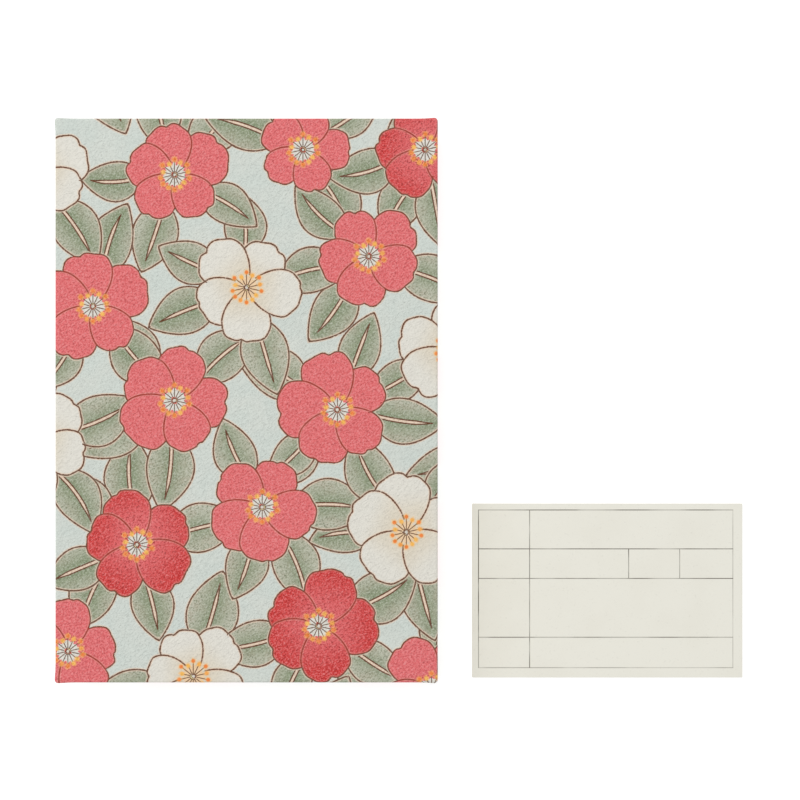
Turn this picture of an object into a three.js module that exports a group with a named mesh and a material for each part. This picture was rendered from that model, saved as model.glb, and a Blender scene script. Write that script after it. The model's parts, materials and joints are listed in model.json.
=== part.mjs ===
// Temple stamp book: two cloth-covered boards and a strip of paper leaves folded in a zig-zag,
// closed, with the owner's loose name card lying beside it.
// Millimetres. The book lies on its back cover with the front cover up. +Z is up, +Y runs to the
// head, and +X runs to the spine and the card. The origin is the middle of the back cover's face.
import * as THREE from 'three';

// Covers
const coverWidth = 122;
const coverHeight = 180;
const coverCornerRadius = 1.2;
const coverEdgeRadius = 0.7;
const boardThickness = 2;
const clothThickness = 0.35;
const clothTurnIn = 13;
const boardClearance = 0.03;

// Strip of leaves, counted from the front cover; the first and the last are pasted down
const leafCount = 24;
const leafThickness = 0.42;
const pastedownThickness = 0.24;
const leafGap = 0.08;
const pasteGap = 0.04;
const headAndTailMargin = 2;
const foreEdgeMargin = 3;
const foldClearance = 0.05;
const foldRadius = 0.34;

// Name card
const cardWidth = 87.5;
const cardHeight = 56.3;
const cardThickness = 0.3;
const cardToSpine = 11.2;
const cardAboveTail = 0.4;

// Smoothness of the round stretches, and the sharpest corner that folded cloth makes
const cornerSteps = 4;
const edgeSteps = 3;
const foldSteps = 3;
const sharpestCorner = 0.2;

// Heights that follow from the sizes above
const boardBase = clothThickness + boardClearance;
const turnInBase = boardBase + boardThickness + boardClearance;
const coverThickness = turnInBase + clothThickness;
const pastedownBase = coverThickness + pasteGap;
const firstGap = pastedownBase + pastedownThickness;
const leafPitch = leafThickness + leafGap;
const freeLeaves = leafCount - 2;
const bookThickness = 2 * firstGap + leafGap + freeLeaves * leafPitch;

// Edges of the strip: its spine folds are flush with the covers
const stripRight = coverWidth / 2;
const stripLeft = foreEdgeMargin + foldClearance - coverWidth / 2;
const leafHeight = coverHeight - 2 * headAndTailMargin;

const clothFinish = new THREE.MeshStandardMaterial({ color: 0xc9a7a0, roughness: 0.85, metalness: 0 });
const boardFinish = new THREE.MeshStandardMaterial({ color: 0xb9ab94, roughness: 0.9, metalness: 0 });
const leafFinish = new THREE.MeshStandardMaterial({ color: 0xf1ecdc, roughness: 0.9, metalness: 0 });
const cardFinish = new THREE.MeshStandardMaterial({ color: 0xe6e4d9, roughness: 0.7, metalness: 0 });

const book = new THREE.Group();

function addPiece(name, geometry, finish) {
  const piece = new THREE.Mesh(geometry, finish);
  piece.name = name;
  book.add(piece);
}

// One loop of points round a rectangle with round corners, anticlockwise from above
function roundedLoop(width, height, radius, z) {
  const points = [];
  const corners = [[1, 1], [-1, 1], [-1, -1], [1, -1]];
  corners.forEach(([sideX, sideY], corner) => {
    for (let step = 0; step <= cornerSteps; step += 1) {
      const angle = (corner + step / cornerSteps) * Math.PI / 2;
      points.push(new THREE.Vector3(
        sideX * (width / 2 - radius) + radius * Math.cos(angle),
        sideY * (height / 2 - radius) + radius * Math.sin(angle),
        z,
      ));
    }
  });
  return points;
}

// A closed skin over loops that follow each other, capped on the first and on the last
function skinLoops(loops) {
  const size = loops[0].length;
  const positions = loops.flat().flatMap((point) => point.toArray());
  const faces = [];
  for (let loop = 0; loop + 1 < loops.length; loop += 1) {
    for (let i = 0; i < size; i += 1) {
      const next = (i + 1) % size;
      const here = loop * size;
      const above = here + size;
      faces.push(here + i, here + next, above + next, here + i, above + next, above + i);
    }
  }
  const last = (loops.length - 1) * size;
  for (let i = 1; i + 1 < size; i += 1) {
    faces.push(0, i + 1, i);
    faces.push(last, last + i, last + i + 1);
  }
  const geometry = new THREE.BufferGeometry();
  geometry.setAttribute('position', new THREE.Float32BufferAttribute(positions, 3));
  geometry.setIndex(faces);
  return geometry;
}

// Loop of the cover's outline, drawn in from its edge by an inset
function coverLoop(inset, z) {
  const radius = Math.max(coverCornerRadius - inset, sharpestCorner);
  return roundedLoop(coverWidth - 2 * inset, coverHeight - 2 * inset, radius, z);
}

// Turns a back cover's piece over into the front cover's place
function toFront(geometry) {
  return geometry.rotateY(Math.PI).translate(0, 0, bookThickness);
}

function toBack(geometry) {
  return geometry;
}

// Cloth wrapped round a board: outer face, rounded edge, then the turn-in round an open window
function coverCloth() {
  const edge = Math.min(coverEdgeRadius, coverThickness / 2);
  const loops = [];
  for (let step = 0; step <= edgeSteps; step += 1) {
    const angle = step / edgeSteps * Math.PI / 2;
    loops.push(coverLoop(edge * (1 - Math.sin(angle)), edge * (1 - Math.cos(angle))));
  }
  for (let step = 0; step <= edgeSteps; step += 1) {
    const angle = step / edgeSteps * Math.PI / 2;
    const z = coverThickness - edge * (1 - Math.sin(angle));
    loops.push(coverLoop(edge * (1 - Math.cos(angle)), z));
  }
  loops.push(coverLoop(clothTurnIn, coverThickness));
  loops.push(coverLoop(clothTurnIn, turnInBase));
  loops.push(coverLoop(clothThickness, turnInBase));
  loops.push(coverLoop(clothThickness, clothThickness));
  return skinLoops(loops);
}

function coverBoard() {
  const inset = clothThickness + boardClearance;
  return skinLoops([
    coverLoop(inset, boardBase),
    coverLoop(inset, boardBase + boardThickness),
  ]);
}

for (const [side, place] of [['back', toBack], ['front', toFront]]) {
  addPiece(`${side}_board`, place(coverBoard()), boardFinish);
  addPiece(`${side}_cloth`, place(coverCloth()), clothFinish);
}

// Section of a leaf across the strip, with the outside of its two folds rounded.
// lowerRight says that the fold to the leaf below is at the spine.
function leafSection(thickness, lowerRight) {
  const radius = Math.min(foldRadius, thickness * 0.9);
  const section = new THREE.Shape();
  if (lowerRight) {
    section.moveTo(stripRight, 0);
    section.lineTo(stripRight, thickness - radius);
    section.absarc(stripRight - radius, thickness - radius, radius, 0, Math.PI / 2, false);
    section.lineTo(stripLeft, thickness);
    section.lineTo(stripLeft, radius);
    section.absarc(stripLeft + radius, radius, radius, Math.PI, Math.PI * 1.5, false);
  } else {
    section.moveTo(stripRight - radius, 0);
    section.absarc(stripRight - radius, radius, radius, -Math.PI / 2, 0, false);
    section.lineTo(stripRight, thickness);
    section.lineTo(stripLeft + radius, thickness);
    section.absarc(stripLeft + radius, thickness - radius, radius, Math.PI / 2, Math.PI, false);
    section.lineTo(stripLeft, 0);
  }
  return section;
}

function leafSolid(thickness, lowerRight, base) {
  const options = { depth: leafHeight, bevelEnabled: false, curveSegments: foldSteps };
  const geometry = new THREE.ExtrudeGeometry(leafSection(thickness, lowerRight), options);
  return geometry.rotateX(Math.PI / 2).translate(0, leafHeight / 2, base);
}

// Leaves from the front pastedown down to the back pastedown; odd folds are at the spine
for (let number = 1; number <= leafCount; number += 1) {
  const name = `leaf_${String(number).padStart(2, '0')}`;
  const pasted = number === 1 || number === leafCount;
  const thickness = pasted ? pastedownThickness : leafThickness;
  let base = firstGap + leafGap + (leafCount - 1 - number) * leafPitch;
  if (number === leafCount) base = pastedownBase;
  addPiece(name, leafSolid(thickness, number % 2 === 1, base), leafFinish);
}

// Name card, flat on the table at the book's lower right
const card = new THREE.BoxGeometry(cardWidth, cardHeight, cardThickness);
card.translate(
  (coverWidth + cardWidth) / 2 + cardToSpine,
  (cardHeight - coverHeight) / 2 + cardAboveTail,
  cardThickness / 2,
);
addPiece('name_card', card, cardFinish);

export default book;
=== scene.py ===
"""Looks of a temple stamp book: printed crepe covers, a zig-zag of washi sheets and the loose name card.

The book lies on its back cover with the front cover up. +Z is up, +Y runs to the head and +X to the spine.
Lengths in the PropertyGroups are in metres, and those inside the shape functions are in millimetres.
"""

import functools
import json

import bpy
import numpy as np
from bpy.props import FloatProperty, FloatVectorProperty, IntProperty, PointerProperty
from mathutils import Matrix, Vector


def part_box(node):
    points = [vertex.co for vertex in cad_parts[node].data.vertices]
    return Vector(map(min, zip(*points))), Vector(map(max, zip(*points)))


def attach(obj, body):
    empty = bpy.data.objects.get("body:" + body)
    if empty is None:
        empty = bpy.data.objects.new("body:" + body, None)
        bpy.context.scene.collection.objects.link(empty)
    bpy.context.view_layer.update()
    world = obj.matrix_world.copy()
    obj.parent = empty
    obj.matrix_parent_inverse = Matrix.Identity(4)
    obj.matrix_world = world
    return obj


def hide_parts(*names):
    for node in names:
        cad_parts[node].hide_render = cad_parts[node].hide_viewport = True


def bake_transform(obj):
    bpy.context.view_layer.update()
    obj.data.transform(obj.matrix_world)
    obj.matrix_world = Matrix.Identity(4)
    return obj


bl_info = {
    "name": "Temple stamp book",
    "version": (1, 0, 0),
    "blender": (4, 5, 0),
    "location": "View3D > Sidebar > Stamp book",
    "description": "Dresses the CAD model of a folding stamp book and its name card",
    "category": "Object",
}

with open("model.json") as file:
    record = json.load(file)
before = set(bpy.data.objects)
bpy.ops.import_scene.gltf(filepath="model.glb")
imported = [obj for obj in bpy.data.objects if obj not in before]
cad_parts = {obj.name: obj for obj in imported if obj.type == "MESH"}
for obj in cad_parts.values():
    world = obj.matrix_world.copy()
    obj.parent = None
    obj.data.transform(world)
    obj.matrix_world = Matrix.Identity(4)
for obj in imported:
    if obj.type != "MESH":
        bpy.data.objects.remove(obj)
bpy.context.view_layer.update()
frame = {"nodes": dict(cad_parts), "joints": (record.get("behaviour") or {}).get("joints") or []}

# The table top lies this far below the book, in metres
FLOOR_DROP = 0.0001

MM = 1000
TINY = 1e-9
BOOK_BOTTOM, BOOK_TOP = (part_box(f"{side}_cloth") for side in ("back", "front"))
COVER_SIZE = (BOOK_BOTTOM[1] - BOOK_BOTTOM[0]) * MM
BOOK_THICKNESS = BOOK_TOP[1].z * MM
CARD_LOW, CARD_HIGH = (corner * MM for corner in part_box("name_card"))
LEAF_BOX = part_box("leaf_02")
SHEET_HEIGHT = (LEAF_BOX[1].y - LEAF_BOX[0].y) * MM
FOLDS = {joint["child"]: joint for joint in frame["joints"] if joint["name"].startswith("fold_")}
FOLD_LINES = {joint["pos_m"][0] * MM for joint in FOLDS.values()}


# Settings


def number(label, default, about, **kind):
    """A number that the user can change."""
    return FloatProperty(name=label, description=about, default=default, **kind)


def size(label, millimetres, about):
    """A length, held in metres."""
    return number(label, millimetres / MM, about, min=0, precision=5, unit="LENGTH")


def share(label, default, about):
    """A part of a whole, from none to all."""
    return number(label, default, about, min=0, max=1, subtype="FACTOR")


def colour(label, red, green, blue, about):
    """A colour as a screen shows it, each channel given out of 255."""
    default = (red / 255, green / 255, blue / 255)
    return FloatVectorProperty(
        name=label, description=about, default=default, min=0, max=1, subtype="COLOR_GAMMA")


class CoverSettings(bpy.types.PropertyGroup):
    """Sizes of the cloth covers and the colours of their print"""

    corner_radius: size("Corner radius", 1.2, "Roundness of a cover's four corners")
    edge_radius: size("Edge radius", 0.7, "Roundness of the cloth where it bends over the board's edge")
    cloth_thickness: size("Cloth thickness", 0.35, "Thickness of the backed crepe")
    turn_in: size("Turn-in", 13, "Width of cloth folded over to the inside of a cover")
    corner_ear: size("Corner ear", 0.3, "How far folded cloth makes each corner stand out")
    spine_ear: share("Spine ear", 0.1, "How much of a corner's ear is left towards the spine")
    mitre_depth: size("Mitre depth", 0.14, "Depth of the joint where two turn-ins meet")
    cell: size("Grid cell", 0.57, "Side of one cell of the cover's outer face")
    crepe: size("Crepe grain", 1.15, "Distance between the crinkles of the crepe")
    crepe_relief: size("Crepe relief", 0.42, "Height of the crinkles")
    crepe_lean: number(
        "Crepe lean", np.radians(38), "Way in which the crinkles run, from the book's width", subtype="ANGLE")
    ground: colour("Ground", 202, 210, 203, "Plain cloth between the flowers")
    leaf_light: colour("Leaf, light", 177, 177, 156, "Printed leaves at their rim")
    leaf_dark: colour("Leaf, dark", 128, 142, 108, "Printed leaves along the middle")
    coral: colour("Coral", 223, 104, 106, "Plain pink blossoms")
    crimson: colour("Crimson", 204, 38, 34, "Rim of the shaded blossoms")
    ivory: colour("Ivory", 221, 218, 208, "Pale blossoms")
    outline: colour("Outline", 98, 53, 14, "Drawn lines")
    outline_pink: colour("Outline on pink", 156, 36, 6, "Drawn lines over the pink dye")
    halo: colour("Halo", 228, 203, 180, "Undyed edge beside the drawn lines")
    anther: colour("Anthers", 243, 182, 84, "Middle of the blossoms")
    anther_deep: colour("Anthers, deep", 236, 128, 52, "Darker dots in the middle of the blossoms")
    pistil: colour("Pistil", 219.3, 211.65, 142.8, "Round end in the middle of a blossom")


class SheetSettings(bpy.types.PropertyGroup):
    """Sizes and colours of the folded washi sheets"""

    ply: size("Ply", 0.205, "Thickness of one layer of paper")
    half_gap: size("Half gap", 0.04, "Half of the space between two leaves of the closed book")
    nose: size("Nose", 0.25, "Roundness of a fold")
    setback: size("Setback", 0.05, "Distance from a fold's outermost line to its axis")
    free_edge: size("Free edge", 0.33, "How far a layer stops short of the next fold")
    trim: size("Trim", 0.12, "Unevenness of the sheets at head and tail")
    sink: size("Sink", 0.22, "How deep a pasted layer sinks between the turn-ins")
    rest: size("Rest", 0.055, "How much thicker a pasted layer is, so that it rests on the cloth")
    paper: colour("Paper", 243, 238, 224, "Washi")
    paper_shade: colour("Paper, shade", 237, 231, 215, "Thicker clouds in the washi")
    fibre: colour("Fibre", 205, 188, 156, "Loose plant fibres in the washi")


class CardSettings(bpy.types.PropertyGroup):
    """Colours and ruling of the name card"""

    paper: colour("Paper", 229, 227, 216, "Smooth card")
    shade: colour("Paper, shade", 223, 220, 208, "Faint clouds in the card")
    ink: colour("Ink", 80, 71, 59, "Ruled lines")
    line: size("Line", 0.27, "Width of the ruled lines")
    fibre_relief: size("Fibre relief", 0.02, "Height of the card's fibres")
    corner_radius: size("Corner radius", 0.3, "Roundness of the card's four corners")
    edge_radius: size("Edge radius", 0.08, "Roundness of the card's cut edge")
    cell: size("Grid cell", 1.6, "Side of one cell of the card's face")


class BoardSettings(bpy.types.PropertyGroup):
    """Colours of the boards inside the covers"""

    board: colour("Board", 168, 158, 138, "Pressed paperboard")
    fleck: colour("Fleck", 122, 112, 96, "Dark flecks in the board")


class StageSettings(bpy.types.PropertyGroup):
    """Floor, lights and camera"""

    floor: colour("Floor", 170, 170, 170, "Plain table top")
    glow: share("Glow", 0.74, "Light that comes up through the table top")
    floor_side: number("Floor side", 24, "Side of the floor", unit="LENGTH")
    camera_height: number("Camera height", 1.25, "Height above the table", unit="LENGTH")
    camera_right: size("Camera right", 48.96, "Camera's place to the right of the book's middle")
    camera_up: size("Camera up", 0.16, "Camera's place towards the head from the book's middle")
    lens: number("Lens", 173.9, "Focal length in millimetres", min=20)
    key: number("Key light", 15.5, "Power of the large light", unit="POWER")
    key_side: number("Key light side", 1.4, "Side of the large light", unit="LENGTH")
    key_place: FloatVectorProperty(
        name="Key light place", description="Where the large light hangs", default=(-0.7, 0.75, 1.5),
        subtype="TRANSLATION", unit="LENGTH")
    fill: number("Fill light", 0.72, "Strength of the light from all round")


class StampBookSettings(bpy.types.PropertyGroup):
    """Everything that the user can change"""

    covers: PointerProperty(type=CoverSettings)
    sheets: PointerProperty(type=SheetSettings)
    card: PointerProperty(type=CardSettings)
    boards: PointerProperty(type=BoardSettings)
    stage: PointerProperty(type=StageSettings)
    seed: IntProperty(name="Seed", description="Start of everything uneven", default=7)


# Finishes


def linear(screen_colour):
    """A screen colour as light, with full opacity, by the sRGB curve."""
    value = np.array(screen_colour[:3], float)
    low = value / 12.92
    high = ((value + 0.055) / 1.055) ** 2.4
    return (*np.where(value <= 0.04045, low, high).tolist(), 1.0)


def grey(level):
    """One level of light on all channels, with full opacity."""
    return (level, level, level, 1.0)


def paler(screen_colour, dye):
    """A screen colour that keeps only a share of its distance from white."""
    return [1 - (1 - channel) * dye for channel in screen_colour]


def toned(screen_colour, *shades):
    """A screen colour with each channel multiplied by a shade."""
    return [channel * shade for channel, shade in zip(screen_colour, shades)]


class Value:
    """A node's output. Arithmetic with it adds Math nodes to the same finish."""

    def __init__(self, finish, socket):
        self.finish = finish
        self.socket = socket

    def math(self, operation, *operands):
        return self.finish.node("ShaderNodeMath", {"operation": operation}, dict(enumerate(operands)))

    def __add__(self, other):
        return self.math("ADD", self, other)

    def __sub__(self, other):
        return self.math("SUBTRACT", self, other)

    def __rsub__(self, other):
        return self.math("SUBTRACT", other, self)

    def __mul__(self, other):
        return self.math("MULTIPLY", self, other)

    def __truediv__(self, other):
        return self.math("DIVIDE", self, other)

    __radd__ = __add__
    __rmul__ = __mul__

    def __abs__(self):
        return self.math("ABSOLUTE", self)

    def at_least(self, other):
        return self.math("MAXIMUM", self, other)

    def at_most(self, other):
        return self.math("MINIMUM", self, other)

    def root(self):
        return self.math("SQRT", self)

    def ramp(self, low, high):
        """0 below low, 1 above high and a smooth step between; low may be the larger."""
        settings = {"interpolation_type": "SMOOTHSTEP"}
        inputs = {"Value": self, "From Min": low, "From Max": high}
        return self.finish.node("ShaderNodeMapRange", settings, inputs)


class Finish:
    """A material's nodes."""

    def __init__(self, name):
        self.material = bpy.data.materials.new(name)
        self.material.use_nodes = True
        self.tree = self.material.node_tree
        self.tree.nodes.clear()

    def node(self, kind, settings=None, inputs=None, output=0):
        """Adds and sets up a node, fills its sockets with values or links, and returns one output."""
        node = self.tree.nodes.new(kind)
        for name, value in (settings or {}).items():
            setattr(node, name, value)
        for name, value in (inputs or {}).items():
            if isinstance(value, Value):
                self.tree.links.new(value.socket, node.inputs[name])
            else:
                node.inputs[name].default_value = value
        return Value(self, node.outputs[output])

    def attribute(self, name):
        return self.node("ShaderNodeAttribute", {"attribute_name": name}, output="Vector")

    def split(self, vector):
        first = self.node("ShaderNodeSeparateXYZ", inputs={0: vector})
        outputs = first.socket.node.outputs
        return [Value(self, outputs[axis]) for axis in range(3)]

    def noise(self, vector, feature, detail=2.0, roughness=0.5, distortion=0.0):
        """Soft noise whose spots are about one feature apart, in the vector's own unit."""
        inputs = {"Vector": vector, "Scale": 1 / feature, "Detail": detail, "Roughness": roughness,
                  "Distortion": distortion}
        return self.node("ShaderNodeTexNoise", inputs=inputs)

    def blend(self, amount, below, above, mode="MIX"):
        """Colour above laid over colour below by an amount."""
        settings = {"data_type": "RGBA", "blend_type": mode}
        return self.node("ShaderNodeMix", settings, {0: amount, 6: below, 7: above}, output=2)

    def place(self, factor=(MM, MM, MM)):
        """Place on the object in millimetres, or in metres multiplied by another factor on each axis."""
        place = self.node("ShaderNodeTexCoord", output="Object")
        return self.node("ShaderNodeVectorMath", {"operation": "MULTIPLY"}, {0: place, 1: factor})

    def drawn_out(self, vector, angle, factor):
        """A vector in the plane, divided by a factor along an angle, so that noise on it is drawn out."""
        inputs = {"Vector": vector, "Rotation": (0, 0, angle), "Scale": (factor, 1, 1)}
        return self.node("ShaderNodeMapping", {"vector_type": "TEXTURE"}, inputs)

    def bump(self, height, relief):
        """Relief is how far, in metres, a height of 1 stands proud."""
        return self.node("ShaderNodeBump", inputs={"Height": height, "Distance": relief, "Strength": 1.0})

    def close(self, base, roughness, normal=None, constants=None):
        """Ends in one principled shader and returns the material."""
        inputs = {"Base Color": base, "Roughness": roughness, **(constants or {})}
        if normal is not None:
            inputs["Normal"] = normal
        shader = self.node("ShaderNodeBsdfPrincipled", inputs=inputs)
        output = self.tree.nodes.new("ShaderNodeOutputMaterial")
        self.tree.links.new(shader.socket, output.inputs["Surface"])
        return self.material


# Noise over the flat cloth, in millimetres: the grain's feature size, then three softer ones
GRAIN = 0.51
UNEVEN, PATCH, CLOUD = 1.8, 4.5, 12.0

# How much longer grain and crinkles are along the crepe, and the crinkles' size as a share of the crepe's
GRAIN_STRETCH, CRINKLE_STRETCH = 1.25, 1.7
CRINKLE_SHARE = 0.9

# Drawn lines of the print, in millimetres
LINE_HALF = 0.15
LINE_SWELL = 0.19
LINE_ROUGHNESS = 0.45
LINE_THINNER_ON_PINK = 0.03
UNDYED_REACH = 0.66

# Midrib of a printed leaf: its widest half, its taper, and the shares of the leaf's length where it ends
RIB_HALF, RIB_TAPER = 0.56, 2.6
RIB_END, RIB_LINE_END = 0.84, 0.86
RIB_LINE_HALF = 0.21

# Stamens in millimetres from a blossom's middle: pistil, pale tuft, drawn hairs, and a dot at the end of each
SPOKES = 14
PISTIL_REACH = 1.05
TUFT_REACH = 3.9
HAIR_HALF, HAIR_REACH, HAIR_SPREAD = 0.16, 3.7, 1.5
DOT_CORE, DOT_EDGE, DOT_GLOW = 0.42, 0.78, 1.35


class ClothPrint(Finish):
    """Nodes of the printed crepe.

    The mesh carries, at each point, which kind of shape covers it and its place within its leaf or blossom,
    and on each face the way to the nearest drawn outlines. The lines, ribs and stamens are drawn from these.
    """

    def __init__(self, look):
        super().__init__("printed_crepe")
        self.look = look
        flat = self.attribute("flat")
        self.is_leaf, self.is_pink, self.is_ivory = self.split(self.attribute("kind"))
        self.along, self.across, self.length = self.split(self.attribute("leaf"))
        self.petal_x, self.petal_y, self.petal_far = self.split(self.attribute("blossom"))
        self.tone, self.dye, self.outward = self.split(self.attribute("tone"))
        upper_x, upper_y, upper_in = self.split(self.attribute("upper_line"))
        lower_x, lower_y = self.split(self.attribute("lower_line"))[:2]
        from_lower = (lower_x * lower_x + lower_y * lower_y).root() + upper_in.ramp(-0.05, 0.05) * FAR
        self.from_line = (upper_x * upper_x + upper_y * upper_y).root().at_most(from_lower)

        fine = self.drawn_out(flat, look.crepe_lean, GRAIN_STRETCH)
        coarse = self.drawn_out(flat, look.crepe_lean, CRINKLE_STRETCH)
        self.grain = self.noise(fine, GRAIN, detail=3.0, roughness=0.7, distortion=0.5)
        self.crinkle = self.noise(coarse, look.crepe * MM * CRINKLE_SHARE, detail=1.5, distortion=1.3)
        self.uneven = self.noise(flat, UNEVEN, detail=1.0)
        self.patchy = self.noise(flat, PATCH)
        self.cloud = self.noise(flat, CLOUD)
        # Light and dark spots of the grain: mottling in the dye, and in the crepe shading also painted
        # highlight on the crepe's tops and painted shade in its hollows
        self.speckle_and_painted_highlight = self.grain.ramp(0.48, 0.62)
        self.fleck = self.grain.ramp(0.5, 0.36)

    def dyed(self, name):
        """The colour of a setting, as light."""
        return linear(getattr(self.look, name))

    def ground(self):
        """Plain cloth, paler in clouds."""
        return self.blend(self.cloud.ramp(0.3, 0.75) * 0.3, self.dyed("ground"), self.dyed("ivory"))

    def leaf(self):
        """A leaf, darker along the middle and mottled, with a pale midrib between two drawn lines."""
        pale = linear(paler(self.look.leaf_light, 0.72))
        warm = linear(toned(self.look.leaf_light, 0.99, 0.93, 0.93))
        paint = self.blend(self.cloud.ramp(0.4, 0.7) * 0.35, self.dyed("leaf_light"), pale)
        paint = self.blend(self.patchy.ramp(0.45, 0.62) * 0.5, paint, warm)
        rim = (abs(self.across) / 6.0).at_least(1.0 - self.from_line / 2.2)
        way = self.along / self.length
        depth = (1.35 - rim - way * 0.3 + (self.grain - 0.5) * 3.2 - self.tone * 0.35).ramp(-0.1, 1.1)
        paint = self.blend(depth, paint, self.dyed("leaf_dark"))
        paint = self.blend(self.speckle_and_painted_highlight * 0.5, paint, pale)
        paint = self.blend(self.fleck * 0.6, paint, self.dyed("leaf_dark"))

        rib = ((RIB_END - way).at_least(0) * RIB_TAPER).at_most(RIB_HALF)
        clear = self.from_line.ramp(0.3, 0.5)
        paint = self.blend((rib - abs(self.across)).ramp(-0.02, 0.05) * clear, paint, self.dyed("halo"))
        before_end = (self.length * RIB_LINE_END - self.along).ramp(0, 0.8)
        line = (RIB_LINE_HALF - abs(abs(self.across) - rib)).ramp(-0.07, 0.06) * before_end * clear
        return self.blend(line * self.uneven.ramp(0.0, 0.4), paint, self.dyed("outline"))

    def pink(self):
        """A coral petal, or one that is shaded from coral at its base to crimson at its rim."""
        coral, crimson = self.dyed("coral"), self.dyed("crimson")
        plain = self.blend(self.speckle_and_painted_highlight * 0.22, coral, linear(paler(self.look.coral, 0.66)))
        plain = self.blend(self.fleck * 0.18, plain, crimson)
        deep = (self.outward * 1.2 - 0.25 + (self.grain - 0.5) * 2.4 + self.tone * 0.3).ramp(0, 1.1)
        shaded = self.blend(deep, coral, crimson)
        shaded = self.blend(self.speckle_and_painted_highlight * 0.75, shaded, coral)
        shaded = self.blend(self.fleck * 0.7, shaded, linear(toned(self.look.crimson, 0.86, 0.86, 0.86)))
        return self.blend(self.dye.ramp(0.4, 0.6), plain, shaded)

    def ivory(self):
        """A pale petal, warmer towards its base."""
        warm = linear(toned(self.look.ivory, 0.985, 0.955, 0.91))
        return self.blend(self.outward.ramp(0.75, 0.2), self.dyed("ivory"), warm)

    def with_lines(self, base):
        """Drawn lines, redder and thinner on the pink blossoms, with an undyed edge beside them."""
        on_pink = self.is_pink.ramp(-0.5, 0.1)
        rough = (self.grain - 0.5) * LINE_ROUGHNESS
        half = LINE_HALF + self.uneven * LINE_SWELL + rough - on_pink * LINE_THINNER_ON_PINK
        outside = self.petal_far.ramp(TUFT_REACH, TUFT_REACH + 0.4)
        undyed = (UNDYED_REACH - self.from_line).ramp(0, 0.22) * (0.75 - on_pink * 0.6) * outside
        covers = 0.62 + self.grain.ramp(0.34, 0.5) * 0.38
        ink = (half - self.from_line).ramp(-0.08, 0.05) * outside * covers
        line = self.blend(self.is_pink.ramp(-0.04, 0.14), self.dyed("outline"), self.dyed("outline_pink"))
        return self.blend(ink, self.blend(undyed, base, self.dyed("halo")), line)

    def with_stamens(self, base):
        """Pale threads round a pistil with drawn hairs between them, each hair with an anther at its end."""
        far = self.petal_far
        turn = self.petal_y.math("ARCTAN2", self.petal_y, self.petal_x) * (SPOKES / (2 * np.pi)) + SPOKES
        beside = turn.math("FRACT", turn) - 0.5
        sideways = beside * far * (2 * np.pi / SPOKES)
        spoke = turn.math("FLOOR", turn)
        chance = self.node("ShaderNodeTexWhiteNoise", {"noise_dimensions": "1D"}, {"W": spoke})
        reach = HAIR_REACH + chance * HAIR_SPREAD
        tuft = (TUFT_REACH - abs(beside) * 1.3 + (self.uneven - 0.5) * 2 - far).ramp(-0.1, 0.15)
        threads = self.blend(self.is_ivory.ramp(0, 0.2) * 0.5, self.dyed("ivory"), self.dyed("anther"))
        base = self.blend(tuft, base, threads)
        hair = (HAIR_HALF - abs(sideways)).ramp(-0.05, 0.05) * far.ramp(1.0, 1.3)
        hair = hair * (reach - far).ramp(-0.1, 0.3)
        base = self.blend(hair * 0.9, base, self.dyed("outline"))
        past = far - reach
        from_dot = (sideways * sideways + past * past).root()
        glow = (DOT_GLOW + (self.grain - 0.5) * 2 - from_dot).ramp(0, 0.9)
        base = self.blend(glow * 0.65, base, self.dyed("anther"))
        yellow = self.blend(chance.ramp(0.35, 0.65), self.dyed("anther"), self.dyed("anther_deep"))
        base = self.blend(from_dot.ramp(DOT_EDGE, DOT_CORE), base, yellow)
        base = self.blend(far.ramp(PISTIL_REACH, PISTIL_REACH - 0.2), base, self.dyed("pistil"))
        ring = (0.12 - abs(far - PISTIL_REACH)).ramp(-0.04, 0.04)
        return self.blend(ring, base, self.dyed("outline"))

    def with_painted_crepe_shade_and_highlight(self, base):
        """Painted shade in the hollows of the crepe and painted highlight on its tops, stronger where the dye
        is strong.
        """
        strong = self.is_leaf.at_least(self.is_pink).ramp(-0.1, 0.1)
        # Painted shade in the grain's hollows, then painted highlight on its tops
        shade = self.fleck * (0.55 + strong * 0.59 - self.is_ivory.ramp(-0.1, 0.1) * 0.16)
        base = self.blend(shade, base, grey(0.71), "MULTIPLY")
        base = self.blend(self.speckle_and_painted_highlight * (0.22 + strong * 0.6), base, grey(0.075), "SCREEN")
        # Painted shade in the crinkles' hollows, then painted highlight on their tops
        base = self.blend(self.crinkle.ramp(0.53, 0.35) * 0.3, base, (0.88, 0.88, 0.89, 1.0), "MULTIPLY")
        return self.blend(self.crinkle.ramp(0.5, 0.66) * 0.4, base, grey(0.07), "SCREEN")


def printed_crepe(look):
    """Crinkled cloth with a print of blossoms and leaves, laid one over another from the ground up."""
    cloth = ClothPrint(look)
    base = cloth.ground()
    paints = ((cloth.is_leaf, cloth.leaf()), (cloth.is_pink, cloth.pink()), (cloth.is_ivory, cloth.ivory()))
    for covers, paint in paints:
        base = cloth.blend(covers.ramp(-0.04, 0.04), base, paint)
    # Last, painted shade and painted highlight of the crepe's relief are laid into the colour
    base = cloth.with_painted_crepe_shade_and_highlight(cloth.with_stamens(cloth.with_lines(base)))
    height = cloth.crinkle * 0.8 + cloth.grain * 0.2
    return cloth.close(base, 0.78 + cloth.grain * 0.14, cloth.bump(height, look.crepe_relief))


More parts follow.
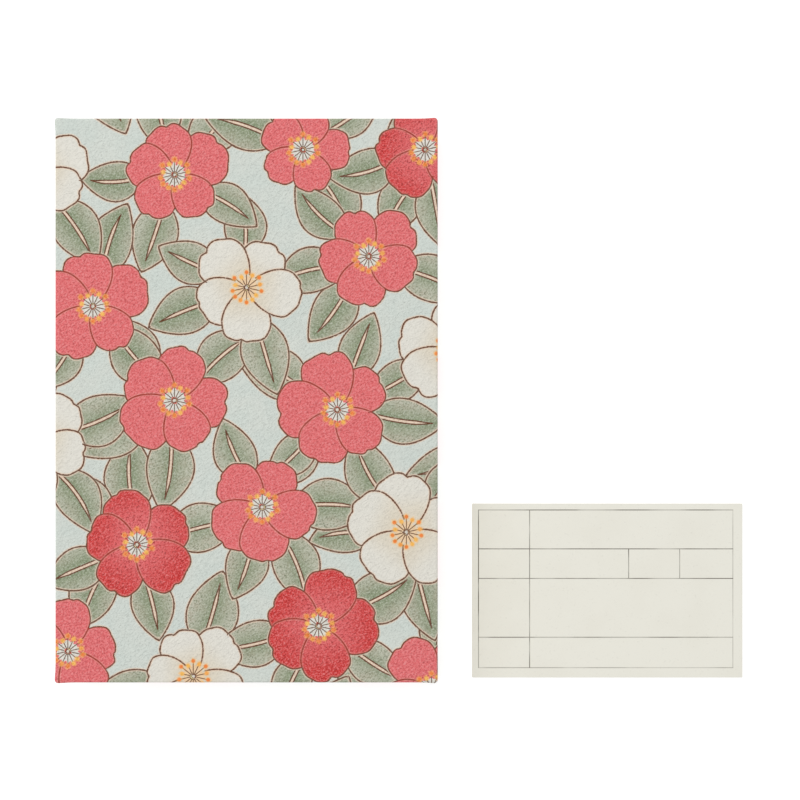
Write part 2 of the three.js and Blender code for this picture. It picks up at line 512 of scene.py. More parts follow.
def washi(look):
    """Cream paper, thicker in clouds, with loose plant fibres lying in it.

    A fibre shows where stretched, twisted noise passes through its middle value.
    """
    finish = Finish("washi")
    cloud = finish.noise(finish.place(), 2.6, detail=4.0, roughness=0.7)
    base = finish.blend(cloud.ramp(0.35, 0.7), linear(look.paper), linear(look.paper_shade))
    for stretch in ((1.0, 0.16, 0.3), (0.2, 1.0, 0.3)):
        drawn = finish.place([MM * part for part in stretch])
        strand = finish.noise(drawn, 1.5, detail=1.0, distortion=1.6)
        patch = finish.noise(drawn, 3.7, detail=0.0)
        fibre = (0.012 - abs(strand - 0.5)).ramp(-0.004, 0.008) * patch.ramp(0.52, 0.66)
        base = finish.blend(fibre * 0.4, base, linear(look.fibre))
    return finish.close(base, 0.9)


def greyboard(look):
    """Pressed board: grey-brown with dark flecks and lighter fibres."""
    finish = Finish("greyboard")
    place = finish.place()
    fleck = finish.noise(place, 0.9, detail=3.0)
    cloud = finish.noise(place, 6.0)
    base = finish.blend(cloud.ramp(0.35, 0.65), linear(look.board), linear(paler(look.board, 0.85)))
    base = finish.blend(fleck.ramp(0.6, 0.72) * 0.7, base, linear(look.fleck))
    return finish.close(base, 0.9)


# Ruled lines of the name card: left, top, right and bottom in millimetres from its top left corner, then
# how strong each is
CARD_RULES = (
    (2.14, 2.1, 84.4, 2.1, 1.0),
    (2.14, 53.1, 84.4, 53.1, 0.56),
    (2.14, 2.1, 2.14, 53.1, 1.0),
    (84.4, 2.1, 84.4, 53.1, 0.44),
    (18.67, 2.1, 18.67, 53.1, 0.9),
    (2.14, 14.68, 84.4, 14.68, 0.96),
    (2.14, 24.24, 84.4, 24.24, 0.92),
    (2.14, 43.26, 84.4, 43.26, 0.92),
    (50.7, 14.68, 50.7, 24.24, 0.92),
    (67.2, 14.68, 67.2, 24.24, 0.9),
)


def ruled_card(look):
    """Smooth card with a printed form on its upper face.

    A rule shows where the distance to its stretch is below its half width, and its ink is worn in places.
    """
    finish = Finish("ruled_card")
    place = finish.place()
    east, north, up = finish.split(place)
    right = east - CARD_LOW.x
    down = CARD_HIGH.y - north
    fibre = finish.noise(place, 0.7, detail=3.0)
    cloud = finish.noise(place, 15.0)
    wear = finish.noise(place, 13.0, detail=3.0)
    rules = []
    for x0, y0, x1, y1, strength in CARD_RULES:
        gap_x = abs(right - (x0 + x1) / 2) - (x1 - x0) / 2
        gap_y = abs(down - (y0 + y1) / 2) - (y1 - y0) / 2
        rules.append((look.line * MM / 2 - gap_x.at_least(gap_y)).ramp(-0.05, 0.05) * strength)
    ink = functools.reduce(Value.at_least, rules) * (0.5 + wear.ramp(0.36, 0.62) * 0.5) * up.ramp(0.2, 0.25)
    base = finish.blend(cloud.ramp(0.4, 0.7) * 0.3, linear(look.paper), linear(look.shade))
    base = finish.blend(ink, base, linear(look.ink))
    base = finish.blend(fibre.ramp(0.6, 0.75) * 0.07, base, linear(look.ink))
    return finish.close(base, 0.62 + fibre * 0.12, finish.bump(fibre, look.fibre_relief))


def table_top(look):
    """Matt white acrylic lit from below, very slightly cloudy."""
    finish = Finish("table_top")
    cloud = finish.noise(finish.place((1, 1, 1)), 0.4)
    darker = linear(toned(look.floor, 0.992, 0.992, 0.992))
    base = finish.blend(cloud.ramp(0.3, 0.7), linear(look.floor), darker)
    return finish.close(base, 0.9, constants={"Emission Color": grey(1.0), "Emission Strength": look.glow})


# Print of the cover cloth, in millimetres

REPEAT = np.array([150.0, 196.0])
FAR = 9.0
LEAF, PINK, IVORY = 0, 1, 2

# How far from a shape its outline is felt by the fields and by the lines, and how deep within it a face
# still shows what lies below
FELT = 3.0
LINE_FELT = 1.3
FACE_REACH = 0.45

# Where each cover is cut from the fabric
FRONT_CUT = np.array([75.0, 100.0])
BACK_CUT = np.array([9.0, 31.0])

# One repeat of the fabric: each blossom's place, reach and turn in degrees, its dye (0 coral, 1 crimson,
# -1 ivory), and the directions in which leaves stand round it
BLOSSOMS = (
    (18, 20, 16.5, 10, 0, (62, 150, 215, 300)),
    (58, 12, 16.5, 40, -1, (80, 190, 330, 262)),
    (98, 28, 17.5, 0, 1, (25, 110, 200, 250, 320)),
    (134, 8, 16.0, 55, 0, (80, 165, 240, 300)),
    (40, 54, 17.5, 30, 1, (20, 95, 150, 205, 285)),
    (80, 66, 16.0, 65, 0, (60, 120, 350, 250)),
    (126, 58, 17.5, 20, -1, (50, 110, 190, 290)),
    (8, 86, 17.0, 50, -1, (30, 100, 190, 300)),
    (52, 100, 17.5, 5, 0, (40, 130, 210, 265)),
    (104, 97, 18.0, 35, 0, (70, 150, 225, 355)),
    (140, 116, 16.5, 15, -1, (40, 205, 310)),
    (26, 130, 17.5, 25, 0, (65, 160, 240, 320)),
    (75, 136, 17.5, 60, -1, (15, 95, 150, 210, 290)),
    (114, 146, 16.5, 45, 0, (60, 140, 235, 340)),
    (52, 172, 16.5, 20, 0, (50, 115, 175, 250, 320)),
    (93, 180, 15.0, 0, 0, (70, 160, 30, 300)),
    (8, 172, 16.5, 35, -1, (90, 150, 230, 300)),
    (132, 180, 15.5, 30, 1, (110, 200, 20, 280)),
)


def turned(points, angle):
    """Points in the plane, turned anticlockwise about the origin by an angle in radians."""
    cosine, sine = np.cos(angle), np.sin(angle)
    return points @ np.array([[cosine, sine], [-sine, cosine]])


def petal_outline(centre, angle, reach, dice):
    """An egg that stands on the blossom's centre, with a ruffled rim and one notch.

    Along and across follow the cosine and sine of one turn. The rim swells with two waves and dips at the
    notch.
    """
    turn = np.linspace(0, 2 * np.pi, 72, endpoint=False)
    phase = dice.uniform(0, 2 * np.pi, 2)
    rim = np.clip(np.cos(turn), 0, 1)
    from_notch = (turn - dice.uniform(-0.35, 0.35) + np.pi) % (2 * np.pi) - np.pi
    swell = 1 + rim * (0.035 * np.sin(4 * turn + phase[0]) + 0.02 * np.sin(9 * turn + phase[1]))
    swell -= 0.1 * np.exp(-from_notch ** 2 / 0.012)
    along = 0.52 + 0.48 * np.cos(turn) * swell
    across = dice.uniform(0.52, 0.6) * np.sin(turn) * swell * (0.55 + 0.45 * along)
    return turned(np.stack([along, across], 1) * reach, angle) + centre


def leaf_outline(root, angle, length, width, bend):
    """A pointed oval: its half width is a sine of the way along, and its middle line a parabola."""
    way = np.linspace(0, 1, 32)
    half = width * np.sin(np.pi * way ** 0.86) ** 0.85 / 2
    middle = bend * 4 * way * (1 - way)
    along = np.concatenate([way, way[-2:0:-1]]) * length
    across = np.concatenate([middle + half, (middle - half)[-2:0:-1]])
    return turned(np.stack([along, across], 1), angle) + root


def print_shapes(seed):
    """Every leaf and petal of one repeat, from the lowest to the topmost."""
    dice = np.random.default_rng(seed)
    leaves, petals = [], []
    for x, y, reach, turn, dye, directions in BLOSSOMS:
        centre = np.array([x, y], float)
        for pointing in directions:
            angle = np.radians(pointing + dice.uniform(-8, 8))
            length = dice.uniform(21, 27)
            bend = length * dice.uniform(-0.09, 0.09)
            root = centre + np.array([np.cos(angle), np.sin(angle)]) * reach * 0.55
            outline = leaf_outline(root, angle, length, length * dice.uniform(0.54, 0.64), bend)
            leaves.append((LEAF, outline, root, angle, length, bend, dice.uniform(), 0.0))
        for petal in range(5):
            angle = np.radians(turn + 72 * petal + dice.uniform(-9, 9))
            size = reach * dice.uniform(0.9, 1.09)
            outline = petal_outline(centre, angle, size, dice)
            kind = IVORY if dye < 0 else PINK
            petals.append((kind, outline, centre, angle, size, 0.0, dice.uniform(), max(dye, 0)))
    return [leaves[i] for i in dice.permutation(len(leaves))] + petals


def to_outline(points, outline):
    """Vector from each point to the nearest place on a closed outline, and whether the point is inside it.

    The nearest place on each side is the foot of the perpendicular, kept within the side. A point is inside
    if a line from it crosses the outline an odd number of times.
    """
    side = np.roll(outline, -1, axis=0) - outline
    gap = points[:, None] - outline
    foot = np.clip((gap * side).sum(2) / (side ** 2).sum(1), 0, 1)
    away = foot[..., None] * side - gap
    nearest = (away ** 2).sum(2).argmin(1)
    below = points[:, None, 1] < outline[:, 1]
    crosses = below != (points[:, None, 1] < outline[:, 1] + side[:, 1])
    rise = np.where(np.abs(side[:, 1]) < TINY, TINY, side[:, 1])
    meets = outline[:, 0] + gap[:, :, 1] * side[:, 0] / rise
    inside = ((points[:, None, 0] < meets) & crosses).sum(1) % 2 == 1
    return away[np.arange(len(points)), nearest], inside


def each_print(points, seed, margin):
    """Each shape at each of its places, with the rows of the points near it and the place's shift."""
    for shape in print_shapes(seed):
        outline = shape[1]
        low, high = outline.min(0) - margin, outline.max(0) + margin
        first = np.ceil((points.min(0) - high) / REPEAT).astype(int)
        last = np.floor((points.max(0) - low) / REPEAT).astype(int)
        for step in np.ndindex(*np.maximum(last - first + 1, 0)):
            shift = (first + step) * REPEAT
            rows = np.flatnonzero(np.all((points > low + shift) & (points < high + shift), 1))
            if len(rows):
                yield shape, rows, shift


def print_fields(points, seed):
    """What the print measures at points of the cloth: shapes lie one over another and hide what is below.

    The kinds are the distance to the nearest outline, positive for the kind that covers the point.
    """
    count = len(points)
    edge = np.full(count, FAR)
    kind = np.full(count, -1)
    leaf = np.zeros((count, 3))
    blossom = np.full((count, 3), 3 * FAR)
    tone = np.zeros((count, 3))
    for shape, rows, shift in each_print(points, seed, FELT):
        sort, outline, origin, angle, length, bend, shade, dye = shape
        local = points[rows] - shift
        away, inside = to_outline(local, outline)
        reach = np.hypot(*away.T)
        changed = inside | (reach < edge[rows])
        edge[rows[changed]] = reach[changed]
        rows, local = rows[inside], local[inside] - origin
        own = turned(local, -angle)
        way = own[:, 0] / length
        kind[rows] = sort
        tone[rows] = np.stack(np.broadcast_arrays(shade, dye, way), 1)
        leaf[rows], blossom[rows] = 0, 3 * FAR
        if sort == LEAF:
            from_middle = own[:, 1] - bend * 4 * way * (1 - way)
            leaf[rows] = np.stack(np.broadcast_arrays(own[:, 0], from_middle, length), 1)
        else:
            blossom[rows] = np.column_stack([local, np.hypot(*local.T)])
    near = np.minimum(edge, FELT)[:, None]
    signed = np.where(kind[:, None] == np.arange(3), near, -near)
    return {"kind": signed, "leaf": leaf, "blossom": blossom, "tone": tone}


def print_lines(corners, seed):
    """The way from each face corner to the two nearest drawn outlines, the upper and the lower one.

    Both are chosen for the middle of the face, so within a face no vector changes from one outline to the
    next. The upper one also carries its signed distance, positive inside its shape, where the lower one is
    hidden.
    """
    middle = corners.mean(1)
    upper = np.full((len(corners), 4, 3), FAR)
    lower = upper.copy()
    near = np.full((len(corners), 2), LINE_FELT)
    for shape, rows, shift in each_print(middle, seed, LINE_FELT):
        away, inside = to_outline(middle[rows] - shift, shape[1])
        reach = np.hypot(*away.T)
        buried = rows[inside & (reach > FACE_REACH)]
        near[buried], upper[buried], lower[buried] = LINE_FELT, FAR, FAR
        closer = reach < near[rows].max(1)
        rows, reach = rows[closer], reach[closer]
        keeps = near[rows, 0] <= near[rows, 1]
        lower[rows] = np.where(keeps[:, None, None], upper[rows], lower[rows])
        near[rows, 1] = near[rows].min(1)
        near[rows, 0] = reach
        away, inside = to_outline((corners[rows] - shift).reshape(-1, 2), shape[1])
        far = np.hypot(*away.T)
        upper[rows] = np.column_stack([away, np.where(inside, far, -far)]).reshape(-1, 4, 3)
    return {"upper_line": upper, "lower_line": lower}


# Shapes


# Angle between faces above which an edge is shaded sharp
SHARP_ANGLE = np.radians(40)


def put_mesh(name, points, faces, corner_places, material):
    """A mesh object from points in millimetres, its faces, and each face corner's place on the OFBake map."""
    mesh = bpy.data.meshes.new(name)
    mesh.from_pydata((points / MM).tolist(), [], faces)
    layer = mesh.uv_layers.new(name="OFBake")
    layer.uv.foreach_set("vector", np.asarray(corner_places, np.float32).ravel())
    mesh.shade_smooth()
    mesh.set_sharp_from_angle(angle=SHARP_ANGLE)
    mesh.materials.append(material)
    piece = bpy.data.objects.new(name, mesh)
    bpy.context.scene.collection.objects.link(piece)
    return piece


def add_field(piece, name, values, domain="POINT"):
    """A vector for each point or face corner, which the material reads. What isn't given is far away."""
    field = piece.data.attributes.new(name, "FLOAT_VECTOR", domain)
    vectors = np.full((len(field.data), 3), FAR, np.float32)
    given = np.reshape(values, (-1, 3))
    vectors[:len(given)] = given
    field.data.foreach_set("vector", vectors.ravel())


# Margin round the OFBake map as a share of its side, and the gap between a sheet's parts there in millimetres
MAP_EDGE = 0.01
MAP_GAP = 2

# Smallest radius of a slab's inner corner, and how far heights that count as the same differ, in millimetres
SHARPEST_CORNER = 0.3
SAME_HEIGHT = 0.01


def grid_lines(half, radius, edge, cell):
    """Places of the grid lines across a face: even cells in the middle, three narrow ones along each side."""
    core = half - radius
    steps = max(int(round(2 * core / cell)), 4)
    middle = np.linspace(-core, core, steps + 1)
    outer = np.linspace(core, half - edge, 4)[1:]
    return np.concatenate([-outer[::-1], middle, outer])


def quads(here, above):
    """Faces between lines of points that run round, where each line has its neighbour in the other array."""
    return np.stack([here, np.roll(here, -1, 1), np.roll(above, -1, 1), above], -1).reshape(-1, 4)


def slab_places(flat, shown, around, hidden):
    """Places on the OFBake map: the flat cloth for the shown faces, beside it a strip for the hidden ones.

    The strip unrolls the hidden loops into even cells, and ends in a row of triangles for the closing fan.
    """
    spread = 2 * np.abs(flat).max(0)
    scale = (1 - 2 * MAP_EDGE) / spread.max()
    picture = MAP_EDGE + (flat + spread / 2) * scale
    level = np.linspace(3 * MAP_EDGE + spread[0] * scale, 1 - MAP_EDGE, hidden + 2)
    along = np.linspace(MAP_EDGE, 1 - MAP_EDGE, around + 1)
    step, turn = level[1] - level[0], along[1] - along[0]
    cell = np.array([[0, 0], [0, turn], [step, turn], [step, 0]])
    triangle = np.array([[0, 0], [0, turn], [step, turn / 2]])
    start = np.stack(np.meshgrid(level[:-1], along[:-1], indexing="ij"), -1)
    strip = start[:-1].reshape(-1, 1, 2) + cell
    fan = start[-1][:, None] + triangle
    return np.concatenate([part.reshape(-1, 2) for part in (picture[shown], strip, fan)])


def wrapped_slab(size, radius, edge, cell, profile, seen):
    """Points, faces, flat places and map places of a slab: a grid below, and sides that follow a profile.

    The face lies at height 0. Where both coordinates leave the core rectangle they are scaled by the larger
    over the root of the sum of squares, which turns a square corner round. The grid's border is then carried
    along the profile, a list of inset and height, on each border point's own outward direction, and the last
    loop is closed to its middle. A loop's flat places are the border's, moved outward by the arc length, and
    the faces up to the loop numbered seen lie there on the OFBake map.
    """
    half = np.array(size) / 2
    core = half - radius
    xs, ys = (grid_lines(half[axis], radius, edge, cell) for axis in (0, 1))
    x, y = np.meshgrid(xs, ys, indexing="ij")
    face = np.stack([x, y], -1).reshape(-1, 2)
    inner = np.clip(face, -core, core)
    over = face - inner
    length = np.hypot(*over.T)
    over = over * (np.abs(over).max(1) / np.maximum(length, TINY))[:, None]
    face = inner + over

    index = np.arange(len(face)).reshape(len(xs), len(ys))
    border = np.concatenate([index[:-1, 0], index[-1, :-1], index[:0:-1, -1], index[0, :0:-1]])
    outward = over[border] / np.hypot(*over[border].T)[:, None]
    base = inner[border]

    profile = np.array(profile)
    corner = np.maximum(radius - profile[:, 0], SHARPEST_CORNER)
    shrink = (half - profile[:, :1] - corner[:, None]) / core
    loops = base * shrink[:, None] + outward * corner[:, None, None]
    heights = np.broadcast_to(profile[:, 1, None, None], (*loops.shape[:2], 1))
    loops = np.concatenate([loops, heights], 2).reshape(-1, 3)
    middle = [[0, 0, profile[-1, 1]]]
    points = np.concatenate([np.column_stack([face, np.zeros(len(face))]), loops, middle])

    start = np.array([[edge, 0]])
    arc = np.cumsum(np.hypot(*np.diff(np.concatenate([start, profile]), axis=0).T))
    flat_loops = base + outward * (radius - edge + arc[:, None, None])
    flat = np.concatenate([face, flat_loops.reshape(-1, 2), [[0, 0]]])

    around = len(border)
    loop_rows = len(face) + np.arange(len(profile) * around).reshape(-1, around)
    rings = np.concatenate([border[None], loop_rows])
    cells = np.stack([index[:-1, :-1], index[:-1, 1:], index[1:, 1:], index[1:, :-1]], -1).reshape(-1, 4)
    shown = np.concatenate([cells, quads(rings[:seen], rings[1:seen + 1])])
    hidden = quads(rings[seen:-1], rings[seen + 1:])
    fan = np.stack([rings[-1], np.roll(rings[-1], -1), np.full(around, len(points) - 1)], 1)
    faces = [*shown.tolist(), *hidden.tolist(), *fan.tolist()]
    return points, faces, flat, slab_places(flat, shown, around, len(profile) - seen)


def quarter(centre, radius, start, steps):
    """Inset and height along a quarter of a circle, as cosine and sine of even steps from an angle."""
    angle = np.radians(start + np.linspace(0, 90, steps + 1))
    return [(centre[0] - radius * np.cos(a), centre[1] + radius * np.sin(a)) for a in angle]


# Corners of the cloth, in millimetres: depth and reach of an ear, and width of the groove between turn-ins
EAR_DEPTH, EAR_REACH = 1.6, 3.2
GROOVE_WIDTH = 0.35

# Insets of the grid lines across a turn-in, in millimetres
ACROSS_TURN_IN = (1.3, 2.1, 3.1, 4.3, 7, 10)


def cover_cloth(look, spine):
    """One cover's cloth, outer face down: rounded edge, side, turn-in, then back inside round the board.

    The corners stand out by an exponential of the square of the distance to them, but hardly to the spine,
    where the other leaves turn past them. The turn-ins meet in a groove that is an exponential of the square
    of the distance to the diagonal. spine is 1 or -1, its side before the cover is turned over.
    """
    width, height, thickness = COVER_SIZE
    edge, cloth, turn_in = look.edge_radius * MM, look.cloth_thickness * MM, look.turn_in * MM
    profile = quarter((edge, edge), edge, -90, 4)[1:]
    profile += [(0, thickness / 2)]
    profile += quarter((edge, thickness - edge), edge, 0, 4)
    profile += [(inset, thickness) for inset in (*ACROSS_TURN_IN, turn_in)]
    seen = len(profile)
    profile += [(turn_in, thickness - cloth), (cloth, thickness - cloth), (cloth, cloth)]
    points, faces, flat, places = wrapped_slab(
        (width, height), look.corner_radius * MM, edge, look.cell * MM, profile, seen)

    inset = np.array([width, height]) / 2 - np.abs(points[:, :2])
    outer = np.exp(-(inset / EAR_DEPTH) ** 2)
    ear = look.corner_ear * MM * np.exp(-(inset[:, ::-1] / EAR_REACH) ** 2)
    ear[:, 0] *= np.where(points[:, 0] * spine > 0, look.spine_ear, 1)
    diagonal = (inset[:, 0] - inset[:, 1]) / np.sqrt(2)
    turned_in = (points[:, 2] > thickness - SAME_HEIGHT) & (inset.min(1) > edge)
    groove = look.mitre_depth * MM * np.exp(-(diagonal / GROOVE_WIDTH) ** 2) * turned_in
    points[:, :2] += np.sign(points[:, :2]) * outer * ear
    points[:, 2] -= groove
    flat[:, 0] = -flat[:, 0]
    return points, faces, flat, places


def smooth(way):
    """A step from 0 to 1 as three squares less two cubes."""
    way = np.clip(way, 0, 1)
    return way * way * (3 - 2 * way)


def unrolled(across, rise, rows):
    """Map places of a section carried along rows: its outer line, its inner line, then the two end caps."""
    ring, pairs = len(across), len(across) // 2
    step = np.hypot(np.roll(across, -1) - across, np.roll(rise, -1) - rise)
    far = np.concatenate([np.cumsum(step[:pairs]), np.cumsum(step[pairs:])])
    near = far - step
    height = rows[-1] - rows[0]
    base = np.where(np.arange(ring) < pairs, 0, height + MAP_GAP) - rows[0]
    low, high = rows[:-1, None] + base, rows[1:, None] + base
    near_all, far_all = np.broadcast_to(near, low.shape), np.broadcast_to(far, low.shape)
    walls = [near_all, low, far_all, low, far_all, high, near_all, high]
    places = [np.stack(walls, -1).reshape(-1, 4, 2)]
    near, far = near[:pairs - 1], far[:pairs - 1]
    for gaps, order in ((2, 1), (4, -1)):
        floor = np.full(pairs - 1, 2 * height + gaps * MAP_GAP)
        cap = [near, floor, near, floor + MAP_GAP, far, floor + MAP_GAP, far, floor]
        places.append(np.stack(cap, -1).reshape(-1, 4, 2)[:, ::order])
    return MAP_EDGE + np.concatenate(places) * (1 - 2 * MAP_EDGE) / (2 * height + 6 * MAP_GAP)


# Grid lines of a sheet in millimetres, from its fold across the leaf, and from its middle to head and tail
BY_FOLD = (0.6, 1.2, 3, 8)
OVER_LEAF = np.linspace(20, 98, 9)
BY_FAR_EDGE = (112, 116)
ALONG_HALF = np.linspace(0, 68, 8)[1:]
BY_END = (80, 84)

# Grid lines outward across the inner edge of the turn-ins, where a pasted layer steps down, and how wide
# its slope is there
STEP_DOWN = np.linspace(-2.5, 1.5, 6)
SLOPE = 1.8

# Angles of the lines round a fold
FOLD_ANGLES = np.radians(np.linspace(-90, 90, 9)[1:-1])

# In millimetres: the stretch by the fold over which paste takes hold, the strip at head and tail that the
# trim changes, and how much shorter a layer may be than its neighbour
PASTE_START = 1.5
TRIM_STRIP = 0.4
UNEVEN_REACH = 0.15


def washi_sheet(number, look, turn_in, dice):
    """Points, faces and map places of the sheet folded in two at one fold, and that fold's joint.

    Its section is an outer half circle and an inner half ellipse about the fold, whose ends run on as
    straight layers, and it is carried from head to tail. A layer that is pasted down sinks where both
    coordinates are within the turn-ins, by the product of two smooth steps, and rests on the cloth elsewhere.
    """
    joint = FOLDS["front_cover" if number == 1 else f"page_{number:02d}"]
    axis, level = joint["pos_m"][0] * MM, joint["pos_m"][2] * MM
    side = 1 if axis == max(FOLD_LINES) else -1
    ply, gap, nose, setback = (getattr(look, name) * MM for name in ("ply", "half_gap", "nose", "setback"))
    reach = max(FOLD_LINES) - min(FOLD_LINES) - look.free_edge * MM - setback
    window = np.array(COVER_SIZE.xy) / 2 - turn_in
    near, far = abs(axis) - window[0], abs(axis) + window[0]
    steps = np.concatenate([
        [nose + setback, *BY_FOLD], near - STEP_DOWN[::-1], OVER_LEAF, far + STEP_DOWN, BY_FAR_EDGE])
    lower, upper = (np.append(steps, end) for end in reach - dice.uniform(0, UNEVEN_REACH, 2))

    def line(depth, half):
        across = np.concatenate([lower[::-1], nose + setback - depth * np.cos(FOLD_ANGLES), upper])
        straight = np.full(len(lower), half)
        rise = np.concatenate([-straight, half * np.sin(FOLD_ANGLES), straight])
        return np.stack([across, rise])

    across, rise = np.concatenate([line(nose, gap + ply), line(nose - gap, gap)[:, ::-1]], 1)
    ring = len(across)
    half = SHEET_HEIGHT / 2
    rows = np.concatenate([ALONG_HALF, window[1] + STEP_DOWN, BY_END, [half - TRIM_STRIP, half]])
    rows = np.concatenate([-rows[::-1], [0], rows])
    places = unrolled(across, rise, rows)
    y = np.repeat(rows, ring)
    across, z = np.tile(across, len(rows)), np.tile(rise, len(rows))
    x = axis - side * across
    layer = np.sign(z)
    trim = dice.uniform(-1, 0.3, (2, 2)) * look.trim * MM
    trimmed = trim[(y > 0).astype(int), (layer > 0).astype(int)]
    for pasted, way in ((number == len(FOLDS), -1), (number == 1, 1)):
        if pasted:
            inside = smooth((window[0] - np.abs(x)) / SLOPE) * smooth((window[1] - np.abs(y)) / SLOPE)
            sinks = look.sink * MM * inside + (np.abs(z) > gap + SAME_HEIGHT) * look.rest * MM
            z = z + (layer == way) * way * smooth((across - nose - setback) / PASTE_START) * sinks
    y = y + (np.abs(y) > half - TRIM_STRIP / 4) * np.sign(y) * trimmed
    points = np.column_stack([x, y, z + level])

    index = np.arange(ring * len(rows)).reshape(len(rows), ring)
    first = np.arange(ring // 2 - 1)
    cap = np.stack([first, ring - 1 - first, ring - 2 - first, first + 1], 1)
    faces = np.concatenate([quads(index[:-1], index[1:]), index[0][cap], index[-1][cap[:, ::-1]]])
    if side > 0:
        faces, places = faces[:, ::-1], places[:, ::-1]
    return points, faces.tolist(), places.reshape(-1, 2), joint


def turned_over(points, height):
    """Half a turn about the Y axis, then up by a height."""
    return points * (-1, 1, -1) + (0, 0, height)


def put_on_node(node, material):
    """A CAD node keeps its mesh and takes a finish in its material slots."""
    for holder in frame["nodes"][node].material_slots:
        holder.material = material


# Operators


class STAMPBOOK_OT_covers(bpy.types.Operator):
    """Wraps printed crepe round both boards"""

    bl_idname = "stampbook.covers"
    bl_label = "Cloth covers"

    def execute(self, context):
        settings = context.scene.stamp_book
        look = settings.covers
        crepe = printed_crepe(look)
        for side, cut in (("back", BACK_CUT), ("front", FRONT_CUT)):
            points, faces, flat, places = cover_cloth(look, 1 if side == "back" else -1)
            if side == "front":
                points = turned_over(points, BOOK_THICKNESS)
            piece = put_mesh(f"{side}_cover_crepe", points, faces, places, crepe)
            on_cloth = flat + cut
            add_field(piece, "flat", np.column_stack([on_cloth, np.zeros(len(flat))]))
            for name, values in print_fields(on_cloth, settings.seed).items():
                add_field(piece, name, values)
            four_sided = np.array([face for face in faces if len(face) == 4])
            for name, values in print_lines(on_cloth[four_sided], settings.seed).items():
                add_field(piece, name, values, "CORNER")
            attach(piece, f"{side}_cover")
            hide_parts(f"{side}_cloth")
        return {"FINISHED"}


class STAMPBOOK_OT_boards(bpy.types.Operator):
    """Gives the boards inside the covers their greyboard finish"""

    bl_idname = "stampbook.boards"
    bl_label = "Boards"

    def execute(self, context):
        board = greyboard(context.scene.stamp_book.boards)
        for side in ("back", "front"):
            put_on_node(f"{side}_board", board)
        return {"FINISHED"}


class STAMPBOOK_OT_sheets(bpy.types.Operator):
    """Folds the washi sheets of the strip, one at each fold"""

    bl_idname = "stampbook.sheets"
    bl_label = "Washi sheets"

    def execute(self, context):
        settings = context.scene.stamp_book
        dice = np.random.default_rng(settings.seed)
        paper = washi(settings.sheets)
        turn_in = settings.covers.turn_in * MM
        for number in range(1, len(FOLDS) + 1):
            points, faces, places, joint = washi_sheet(number, settings.sheets, turn_in, dice)
            piece = put_mesh(f"washi_sheet_{number:02d}", points, faces, places, paper)
            east, north, up = joint["pos_m"]
            gap = settings.sheets.half_gap
            up - gap
            up + gap
            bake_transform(piece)
            leaves = [number, number + 1] if number == len(FOLDS) else [number]
            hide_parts(*[f"leaf_{leaf:02d}" for leaf in leaves])
        return {"FINISHED"}


class STAMPBOOK_OT_card(bpy.types.Operator):
    """Lays down the name card with its ruled form"""

    bl_idname = "stampbook.card"
    bl_label = "Name card"

    def execute(self, context):
        look = context.scene.stamp_book.card
        width, height, thick = CARD_HIGH - CARD_LOW
        edge = look.edge_radius * MM
        profile = quarter((edge, edge), edge, -90, 3)[1:] + quarter((edge, thick - edge), edge, 0, 3)
        points, faces, flat, places = wrapped_slab(
            (width, height), look.corner_radius * MM, edge, look.cell * MM, profile, len(profile))
        middle = (CARD_LOW + CARD_HIGH) / 2
        points = turned_over(points, thick) + (middle.x, middle.y, 0)
        piece = put_mesh("ruled_name_card", points, faces, places, ruled_card(look))
        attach(piece, "loose_card")
        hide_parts("name_card")
        return {"FINISHED"}


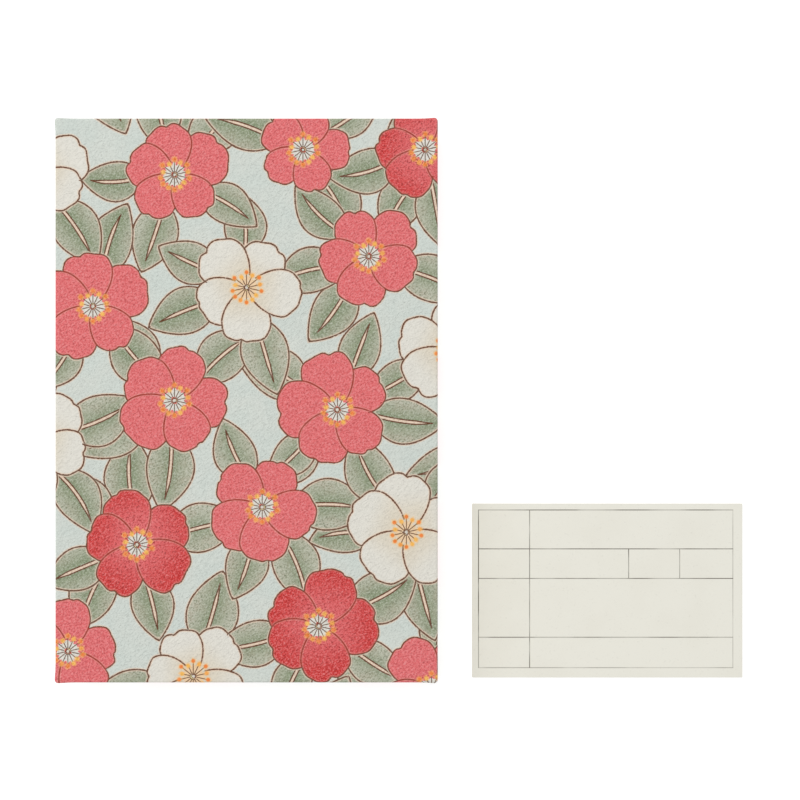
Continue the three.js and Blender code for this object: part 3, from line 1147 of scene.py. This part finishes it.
class STAMPBOOK_OT_stage(bpy.types.Operator):
    """Sets up the table top, the soft lights and the camera above them"""

    bl_idname = "stampbook.stage"
    bl_label = "Stage"

    def execute(self, context):
        scene = context.scene
        look = scene.stamp_book.stage
        half = look.floor_side / 2
        corners = [(-half, -half), (half, -half), (half, half), (-half, half)]
        mesh = bpy.data.meshes.new("table_top")
        mesh.from_pydata([(*corner, -FLOOR_DROP) for corner in corners], [], [(0, 1, 2, 3)])
        mesh.materials.append(table_top(look))
        floor = bpy.data.objects.new("table_top", mesh)
        scene.collection.objects.link(floor)

        world = bpy.data.worlds.new("studio")
        world.use_nodes = True
        background = world.node_tree.nodes["Background"]
        background.inputs["Color"].default_value = grey(1.0)
        background.inputs["Strength"].default_value = look.fill
        scene.world = world

        lamp = bpy.data.lights.new("window", "AREA")
        lamp.energy = look.key
        lamp.size = look.key_side
        window = bpy.data.objects.new("window", lamp)
        window.location = look.key_place
        window.rotation_euler = (-window.location).to_track_quat("-Z", "Y").to_euler()
        scene.collection.objects.link(window)

        camera = bpy.data.cameras.new("above")
        camera.lens = look.lens
        camera.sensor_width = 36
        eye = bpy.data.objects.new("above", camera)
        eye.location = (look.camera_right, look.camera_up, look.camera_height)
        scene.collection.objects.link(eye)
        scene.camera = eye
        scene.view_settings.view_transform = "Standard"
        return {"FINISHED"}


class STAMPBOOK_PT_parts(bpy.types.Panel):
    """Lists the steps that dress the book and the settings of each"""

    bl_idname = "STAMPBOOK_PT_parts"
    bl_label = "Stamp book"
    bl_space_type = "VIEW_3D"
    bl_region_type = "UI"
    bl_category = "Stamp book"

    def draw(self, context):
        settings = context.scene.stamp_book
        groups = ("covers", "boards", "sheets", "card", "stage")
        for step, name in zip(STEPS, groups):
            box = self.layout.box()
            box.operator(step.bl_idname)
            group = getattr(settings, name)
            for setting in type(group).__annotations__:
                box.prop(group, setting)
        self.layout.prop(settings, "seed")


STEPS = (STAMPBOOK_OT_covers, STAMPBOOK_OT_boards, STAMPBOOK_OT_sheets, STAMPBOOK_OT_card, STAMPBOOK_OT_stage)
GROUPS = (CoverSettings, SheetSettings, CardSettings, BoardSettings, StageSettings, StampBookSettings)
CLASSES = (*GROUPS, *STEPS, STAMPBOOK_PT_parts)


def register():
    for part in CLASSES:
        bpy.utils.register_class(part)
    bpy.types.Scene.stamp_book = PointerProperty(type=StampBookSettings)


def unregister():
    del bpy.types.Scene.stamp_book
    for part in reversed(CLASSES):
        bpy.utils.unregister_class(part)


def main():
    """Dresses the frame step by step."""
    register()
    bpy.ops.stampbook.covers()
    bpy.ops.stampbook.boards()
    bpy.ops.stampbook.sheets()
    bpy.ops.stampbook.card()
    bpy.ops.stampbook.stage()


if __name__ == "__main__":
    main()
